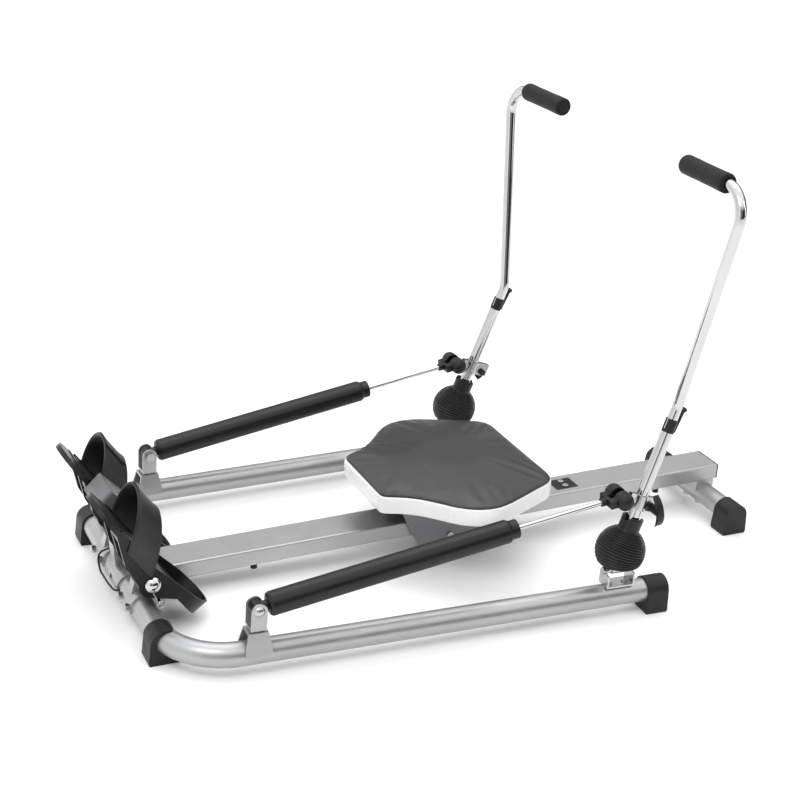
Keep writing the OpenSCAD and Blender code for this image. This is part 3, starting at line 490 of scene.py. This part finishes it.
def cushion_start():
    """A closed pad a little smaller than the finished one."""
    rings = [seat_ring(-6, SEAT_BASE + 1), seat_ring(-6, TOP - 9), seat_ring(-5, TOP - 5.5),
             seat_ring(-1.4, TOP - 4.2), seat_ring(0.0, TOP - 2.6), seat_ring(0.0, TOP - 0.4),
             seat_ring(-1.4, TOP + 1.4), seat_ring(-3.6, TOP + 2.6)]
    for k, rise in DOME:
        rings.append([seat.at(p.x * k, p.y * k, TOP + rise) for p in outline])
    return rings_mesh(rings)


SWELL_FRAMES = 20


def swell(obj, pressure, cap_mm, keep_below):
    """Cloth simulation: the pad swells, held where it rests, and no point moves past the cap."""
    seat_up = seat.ez
    held = obj.vertex_groups.new(name="held")
    start = [v.co.copy() for v in obj.data.vertices]
    for i, co in enumerate(start):
        if (co - seat.origin).dot(seat_up) < keep_below * MM:
            held.add([i], 1.0, "REPLACE")
    cloth = obj.modifiers.new("cloth", "CLOTH")
    cloth.settings.use_pressure = True
    cloth.settings.uniform_pressure_force = pressure
    cloth.settings.vertex_group_mass = "held"
    cloth.settings.quality = 6
    cloth.settings.tension_stiffness = 30
    cloth.settings.compression_stiffness = 30
    cloth.settings.bending_stiffness = 2.0
    cloth.settings.effector_weights.gravity = 0.0
    cloth.point_cache.frame_start, cloth.point_cache.frame_end = 1, SWELL_FRAMES
    scene = bpy.context.scene
    for f in range(1, SWELL_FRAMES + 1):
        scene.frame_set(f)
    apply_modifiers(obj)
    for v, before in zip(obj.data.vertices, start):
        move = v.co - before
        if move.length > cap_mm * MM:
            v.co = before + move.normalized() * cap_mm * MM
    scene.frame_set(1)


# The seat's waist, how far its creases reach along and across, and their height on each side
WAIST, CREASE_REACH, CREASE_MM = (-112, 96), (30, 26), (0.4, 0.9)


def creases(obj):
    """The shallow pull creases of the vinyl at the two waists of the seat."""
    for v in obj.data.vertices:
        local = v.co - seat.origin
        x, y, z = (local.dot(e) / MM for e in (seat.ex, seat.ey, seat.ez))
        if z < TOP - 4:
            continue
        for side in (-1, 1):
            dx, dy = x - WAIST[0], y * side - WAIST[1]
            reach = math.exp(-(dx / CREASE_REACH[0]) ** 2 - (dy / CREASE_REACH[1]) ** 2)
            if reach > 0.02:
                line = math.sin((dx * 0.55 + dy * 0.75) * 0.42 + 0.6 * side)
                v.co += seat.ez * reach * line * CREASE_MM[side > 0] * MM
    obj.data.update()


PUFF_PRESSURE, PUFF_MOST = 4.0, 7.0
verts, faces = cushion_start()
cushion = new_piece("seat_cushion_pad", verts, faces, "seat_leather", None)
modifier(cushion, "REMESH", mode="VOXEL", voxel_size=0.004, use_smooth_shade=True)
apply_modifiers(cushion)
swell(cushion, PUFF_PRESSURE, PUFF_MOST, TOP + 0.3)
modifier(cushion, "SMOOTH", factor=0.5, iterations=3)
modifier(cushion, "SUBSURF", levels=1, render_levels=1)
apply_modifiers(cushion)
creases(cushion)
for face in cushion.data.polygons:
    face.use_smooth = True
if not cushion.data.materials:
    cushion.data.materials.append(slots["seat_leather"])
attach(cushion, "seat")
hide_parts("seat_cushion")


def pucker(k, height):
    """Small vertical pulls where the band is stapled below."""
    p = outline[k]
    low = 1 - (height - SEAT_BASE) / SEAT_SIDE
    pull = noise.noise(Vector((p.x * 0.09, p.y * 0.09, height * 0.012)))
    fine = noise.noise(Vector((p.x * 0.25, p.y * 0.25, 4.0 + height * 0.02)))
    return pull * (0.35 + 0.5 * low) + fine * 0.25 * low


band_rows = [(-9, 55.6), (-3, 55.4), (-0.9, 56.2), (-0.1, 58), (0.6, 62), (1.2, 68), (1.5, 74),
             (1.3, 79), (0.9, 83), (0.4, 86), (-0.3, 87.6), (-1.6, 88.2), (-3.2, 87.8),
             (-4.4, 86.6), (-5, 84), (-6, 76), (-8, 58)]
band_rings = [seat_ring(offset, height, pucker if 57 < height < 87 and offset > -1 else None)
              for offset, height in band_rows]
verts, faces = looped_mesh(band_rings)
band = new_piece("seat_band_wrap", verts, faces, "seat_band", "seat")
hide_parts("seat_band")


def stitches(name, offset, height, pitch, length, radius, slot, body):
    """A row of small thread stitches round the seat's outline."""
    verts, faces = [], []
    total = sum((outline[(k + 1) % len(outline)] - outline[k]).length for k in range(len(outline)))
    spread = evenly(outline, int(total / pitch))
    for k, p in enumerate(spread):
        q = spread[(k + 1) % len(spread)]
        along = (q - p).normalized()
        normal = Vector((along.y, -along.x))
        centre = p + normal * offset
        base = len(verts)
        for t, r in ((-0.5, 0.3), (-0.3, 1.0), (0.3, 1.0), (0.5, 0.3)):
            c = centre + along * length * t
            for n in range(6):
                a = math.pi * n / 3
                out = c + normal * radius * r * math.cos(a)
                verts.append(seat.at(out.x, out.y, height + radius * r * math.sin(a)))
        for i in range(3):
            for n in range(6):
                a, b = base + i * 6 + n, base + i * 6 + (n + 1) % 6
                faces.append((a, b, b + 6, a + 6))
        faces.append(tuple(base + n for n in range(5, -1, -1)))
        faces.append(tuple(base + 18 + n for n in range(6)))
    return new_piece(name, verts, faces, slot, body)


stitches("seat_band_stitches", 0.95, 83.6, 5.0, 3.2, 0.38, "seat_band", "seat")

# ---------- boots ----------
BALL_R, BOOT_RIBS, RIB_DEPTH = 44.5, 16, 3.4
# The ball runs from the collar to the neck between these angles off the arm's axis
BALL_FROM, BALL_TO = 123, 27
NECK_R, NECK_TOP = 19.2, 63.5
BOOT_TURNS, RIB_STEPS = 96, 8
COLLAR = [(17.6, -29.6, 0), (18.2, -30, 0), (21.6, -30, 0), (22, -29.5, 0), (22, -27.6, 0),
          (23.5, -26.4, 0), (30, -25.8, 1), (35, -25.4, 2)]
# Two notches in the neck's rim: their angles, width, depth, and the height where they start
NOTCHES, NOTCH_WIDE, NOTCH_DEEP, NOTCH_FOOT = (0.35, 3.5), 0.30, 7.5, 53


def boot_rings():
    """Rings from the collar up: (radius, height along the axis, lean of the axis in degrees)."""
    low, high = math.radians(BALL_FROM), math.radians(BALL_TO)
    sections = list(COLLAR)
    steps = RIB_STEPS
    for i in range(BOOT_RIBS * steps + 1):
        t = i / (BOOT_RIBS * steps)
        theta = low + (high - low) * t
        phase = (i % steps) / steps
        valley = abs(math.cos(math.pi * phase)) ** 3.2
        r = BALL_R - RIB_DEPTH * valley
        lean = ARM_BACK * min(1.0, 0.12 + t / 0.42)
        sections.append((r * math.sin(theta), r * math.cos(theta), lean))
    sections += [(NECK_R, h, ARM_BACK) for h in (40.6, 44, 52, 60, 62.6)]
    sections += [(NECK_R - 0.4, NECK_TOP, ARM_BACK), (NECK_R - 2.0, NECK_TOP + 0.2, ARM_BACK),
                 (NECK_R - 3.0, NECK_TOP - 0.6, ARM_BACK), (NECK_R - 3.4, 58, ARM_BACK),
                 (11.6, 54, ARM_BACK), (11.15, 50, ARM_BACK)]
    rings = []
    for r, h, lean in sections:
        place = yoke.turned(lean)
        ring = []
        for k in range(BOOT_TURNS):
            a = 2 * math.pi * k / BOOT_TURNS
            notch = sum(math.exp(-((a - at) / NOTCH_WIDE) ** 2) for at in NOTCHES)
            drop = NOTCH_DEEP * notch * max(0.0, (h - NOTCH_FOOT) / 10) if r > 14 else 0.0
            ring.append(place.at(r * math.cos(a), r * math.sin(a), h - drop))
        rings.append(ring)
    return rings


for side in SIDES:
    verts, faces = rings_mesh(boot_rings(), closed=False)
    boot = new_piece(f"arm_boot_{side}", verts, faces, "boot_rubber", None, side == "right")
    modifier(boot, "SOLIDIFY", thickness=0.0012, offset=-1)
    apply_modifiers(boot)
    start, end = yoke.at(0, 0, -24), arm.at(0, 0, 38)
    if side == "right":
        start, end = (Vector((p.x, -p.y, p.z)) for p in (start, end))
    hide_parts(f"joint_boot_{side}")
    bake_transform(boot)

# ---------- grips ----------
for side in SIDES:
    grip_node = nodes[f"handle_grip_{side}"]
    co = np.array([v.co for v in grip_node.data.vertices])
    middle = co.mean(axis=0)
    spread, axes = np.linalg.eigh(np.cov((co - middle).T))
    axis = Vector(axes[:, 2])
    if axis.y * (1 if side == "left" else -1) < 0:
        axis = -axis
    across = axis.cross(Vector((0, 0, 1))).normalized()
    reach = [(Vector(c) - Vector(middle)).dot(axis) / MM for c in co]
    low, high = min(reach), max(reach)
    grip = Place(middle, across, axis.cross(across), axis)
    profile = [(9.6, low + 1.5), (13.0, low + 0.4), (15.6, low + 1.0), (16.7, low + 3.2)]
    steps = 26
    for i in range(steps + 1):
        t = i / steps
        h = low + 5 + (high - low - 11) * t
        profile.append((16.95 - 0.35 * math.sin(math.pi * t) ** 2 + 0.10 * math.sin(17 * t), h))
    profile += [(16.8, high - 3.4), (16.0, high - 1.4), (14.4, high - 0.3), (12.6, high),
                (12.0, high - 0.9), (11.2, high - 1.0), (10.6, high - 0.2), (6, high), (0.5, high)]
    verts, faces = rings_mesh(lathe(grip, profile, 56))
    foam = new_piece(f"foam_grip_{side}", verts, faces, "grip_foam", f"arm_{side}")
    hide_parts(f"handle_grip_{side}")

# ---------- instep straps ----------
STRAP_TOE, STRAP_WIDE, STRAP_LEAN = -91, 66, math.tan(math.radians(36))
SOLE_TOP, STRAP_FOOT = 21, 6.5
ARCH_R, ARCH_TOP = 54.2, 81.8
ARCH_UP = ARCH_TOP - ARCH_R
ARCH_LEG = ARCH_UP - STRAP_FOOT
ARCH_LENGTH = 2 * ARCH_LEG + math.pi * ARCH_R


def strap_point(u, x, lift=0.0):
    """A point over the foot: u from 0 at the outer leg to 1 at the inner, x along the sole."""
    s, r = u * ARCH_LENGTH, ARCH_R + lift
    if s < ARCH_LEG:
        y, z = -r, STRAP_FOOT + s
    elif s > ARCH_LENGTH - ARCH_LEG:
        y, z = r, STRAP_FOOT + ARCH_LENGTH - s
    else:
        a = math.pi - (s - ARCH_LEG) / ARCH_R
        y, z = r * math.cos(a), ARCH_UP + r * math.sin(a)
    return pedal.at(x - (z - SOLE_TOP) * STRAP_LEAN, y, z)


def flared(x, low, high):
    """How far the strap's edges curl off the foot."""
    return 1.5 * (2 * abs((x - low) / (high - low) - 0.5)) ** 4


def strap_skin(u0, u1, lift, thick, low, high, steps=72):
    """A band with rounded edges over the arch, from u0 to u1, and low to high along the sole."""
    span, half = 10, thick / 2
    across = [low + (high - low) * k / span for k in range(span + 1)]
    section = [(x, half) for x in across] + [(high + 0.8, 0)]
    section += [(x, -half) for x in reversed(across)] + [(low - 0.8, 0)]
    rows = []
    for i in range(steps + 1):
        u = u0 + (u1 - u0) * i / steps
        row = []
        for x, off in section:
            wave = 0.7 * noise.noise(Vector((u * 5, x * 0.03, lift)))
            row.append(strap_point(u, x, lift + off + flared(x, low, high) + wave))
        rows.append(row)
    return rings_mesh(rows)


def strap_stitches(name, x, low, high, body, flip):
    """A row of stitches along the strap, over the flap where it lies."""
    count, length = 46, 0.010
    verts, faces = [], []
    for i in range(count):
        u = 0.03 + 0.92 * i / count       # clear of both ends
        base = len(verts)
        lift = (4.0 if u < FLAP_END else 1.7) + flared(x, low, high) - 0.15
        for du in (0, length):
            for dx, dl in ((-0.45, 0), (0, 0.4), (0.45, 0), (0, -0.4)):
                verts.append(strap_point(u + du, x + dx, lift + dl))
        faces += [(base + n, base + (n + 1) % 4, base + 4 + (n + 1) % 4, base + 4 + n)
                  for n in range(4)]
        faces += [(base + 3, base + 2, base + 1, base), (base + 4, base + 5, base + 6, base + 7)]
    new_piece(name, verts, faces, "strap_black", body, flip)


FLAP_END = 0.60
for side in SIDES:
    flip = side == "right"
    body = f"pedal_{side}"
    low, high = STRAP_TOE, STRAP_TOE + STRAP_WIDE
    verts, faces = strap_skin(0, 1, 0.0, 2.4, low, high)
    strap = new_piece(f"instep_strap_{side}", verts, faces, "strap_black", body, flip)
    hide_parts(f"foot_strap_{side}")
    verts, faces = strap_skin(0.0, FLAP_END, 2.5, 2.0, low + 3, high - 3, 48)
    new_piece(f"instep_strap_flap_{side}", verts, faces, "strap_black", body, flip)
    for k, x in enumerate((low + 6, high - 6)):
        strap_stitches(f"strap_stitches_{k}_{side}", x, low, high, body, flip)

# ---------- sensor lead ----------
LEAD_MM = [(-5.5, 10, 153.1), (-2, 10, 149.6), (0, 10.5, 144), (-1, 11.5, 136), (-4, 13, 126),
           (-8, 16, 115), (-11, 20, 104), (-11, 27, 90), (-13, 37, 77), (-19, 48, 68),
           (-26, 56, 60), (-30, 58, 50), (-31, 51, 39), (-31, 40, 31), (-30, 27, 29),
           (-30, 12, 30), (-30, -3, 31), (-29, -18, 32), (-29, -30, 34), (-27, -39, 36),
           (-21, -44, 38), (-15, -44, 38)]
route = [Vector((crossbar_x + x * MM, y * MM, z * MM)) for x, y, z in LEAD_MM]


def smooth_route(points, steps=6):
    """The route as one smooth line through its points."""
    ends = [points[0] * 2 - points[1]] + points + [points[-1] * 2 - points[-2]]
    line = []
    for p0, p1, p2, p3 in zip(ends, ends[1:], ends[2:], ends[3:]):
        for k in range(steps):
            t = k / steps
            line.append(0.5 * (2 * p1 + (p2 - p0) * t + (2 * p0 - 5 * p1 + 4 * p2 - p3) * t ** 2
                               + (3 * p1 - p0 - 3 * p2 + p3) * t ** 3))
    return line + [points[-1]]


def wire(name, points, radius, roundness, slot, body, capped=False):
    """A round wire along points in metres, riding on a body."""
    curve = bpy.data.curves.new(name, "CURVE")
    curve.dimensions = "3D"
    curve.bevel_depth = radius * MM
    curve.bevel_resolution = roundness
    curve.use_fill_caps = capped
    line = curve.splines.new("POLY")
    line.points.add(len(points) - 1)
    for p, co in zip(line.points, points):
        p.co = (*co, 1)
    obj = bpy.data.objects.new(name, curve)
    bpy.context.scene.collection.objects.link(obj)
    curve.materials.append(slots[slot])
    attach(obj, body)
    return obj


# The spring clip that hangs under each dome nut
CLIP_OUT, CLIP_X, CLIP_Z, CLIP_R = -57.2, 12.5, -37.5, 6.2
clip_mm = [(-1.5, -13.2), (1.0, -17.5), (3.4, -22.5), (5.0, -27.5), (5.9, -32.0)]
clip_mm += [(CLIP_X - CLIP_R * math.cos(a), CLIP_Z - CLIP_R * math.sin(a))
            for a in (math.radians(10 + 15 * k) for k in range(21))]
for side in SIDES:
    out = 1 if side == "left" else -1
    at = [Vector((x * MM, out * CLIP_OUT * MM, z * MM)) for x, z in clip_mm]
    hub = joint_pos(f"pedal_tilt_{side}")
    wire(f"axle_clip_{side}", smooth_route([hub + v for v in at], 4), 1.1, 4,
         "chrome", "frame", capped=True)

LEAD_D = 3.5
lead_line = smooth_route(route)
lead = wire("sensor_lead_cord", lead_line, LEAD_D / 2, 6, "lead_black", "frame")
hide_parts("sensor_lead")

# ---------- stage ----------
floor_mat = Finish("floor", (0.93, 0.93, 0.93), 0.8)
floor_mat.tint(floor_mat.noise(0.8, 2), 0.985, 1.01)
FLOOR_SIZE = 40
bpy.ops.mesh.primitive_plane_add(size=FLOOR_SIZE, location=(0, 0, FLOOR_Z))
floor = bpy.context.object
floor.name = "floor"
floor.data.materials.append(floor_mat.mat)

# A studio's surroundings: a bright ceiling, and walls that run from a lit left to a dark right
STUDIO_LIGHT = 1.5
world = bpy.data.worlds.new("studio")
bpy.context.scene.world = world
bpy.context.scene.view_settings.view_transform = "Standard"
world.use_nodes = True
studio = world.node_tree
backdrop = studio.nodes["Background"]
sky_place = studio.nodes.new("ShaderNodeTexCoord")
split = studio.nodes.new("ShaderNodeSeparateXYZ")
leftness = studio.nodes.new("ShaderNodeVectorMath")
leftness.operation = "DOT_PRODUCT"
leftness.inputs[1].default_value = -right
walls = studio.nodes.new("ShaderNodeMapRange")
walls.inputs["From Min"].default_value = -1.0
wall_ramp = studio.nodes.new("ShaderNodeValToRGB")
WALLS = ((0.0, 0.02), (0.34, 0.03), (0.44, 0.40), (0.50, 0.10), (0.60, 0.08), (0.74, 0.9),
         (1.0, 0.7))
stops = wall_ramp.color_ramp.elements
while len(stops) < len(WALLS):
    stops.new(0.5)
for stop, (up_to, grey) in zip(stops, WALLS):
    stop.position = up_to
    stop.color = (grey, grey, grey, 1)
CEILING_FROM, CEILING_FULL = 0.38, 0.66     # sines of the elevation
ceiling = studio.nodes.new("ShaderNodeMapRange")
ceiling.inputs["From Min"].default_value = CEILING_FROM
ceiling.inputs["From Max"].default_value = CEILING_FULL
blend = studio.nodes.new("ShaderNodeMix")
blend.data_type = "RGBA"
for source, target in ((sky_place.outputs["Generated"], split.inputs[0]),
                       (sky_place.outputs["Generated"], leftness.inputs[0]),
                       (leftness.outputs["Value"], walls.inputs["Value"]),
                       (walls.outputs["Result"], wall_ramp.inputs["Fac"]),
                       (split.outputs["Z"], ceiling.inputs["Value"]),
                       (ceiling.outputs["Result"], blend.inputs["Factor"]),
                       (wall_ramp.outputs["Color"], blend.inputs[6]),
                       (blend.outputs[2], backdrop.inputs["Color"])):
    studio.links.new(source, target)
blend.inputs[7].default_value = (1, 1, 1, 1)
backdrop.inputs["Strength"].default_value = STUDIO_LIGHT
# Past the floor's edge the studio itself is plain white
plain = studio.nodes.new("ShaderNodeBackground")
plain.inputs["Color"].default_value = (1, 1, 1, 1)
seen = studio.nodes.new("ShaderNodeLightPath")
either = studio.nodes.new("ShaderNodeMixShader")
studio.links.new(seen.outputs["Is Camera Ray"], either.inputs["Fac"])
studio.links.new(backdrop.outputs["Background"], either.inputs[1])
studio.links.new(plain.outputs["Background"], either.inputs[2])
studio.links.new(either.outputs["Shader"], studio.nodes["World Output"].inputs["Surface"])


def softbox(name, place, target, size, power):
    """A rectangular lamp at a place, facing its target."""
    light = bpy.data.lights.new(name, "AREA")
    light.shape = "RECTANGLE"
    light.size, light.size_y = size
    light.energy = power
    lamp = bpy.data.objects.new(name, light)
    bpy.context.scene.collection.objects.link(lamp)
    lamp.location = place
    lamp.rotation_euler = (Vector(target) - Vector(place)).to_track_quat("-Z", "Y").to_euler()


softbox("key", (-1.6, -1.4, 2.8), (0, 0, 0.2), (1.2, 1.2), 26)
softbox("top", (0.4, 0.6, 3.0), (0, 0, 0.2), (2.6, 1.6), 22)
softbox("side", (2.6, -1.8, 1.6), (0, 0, 0.3), (0.6, 1.8), 9)
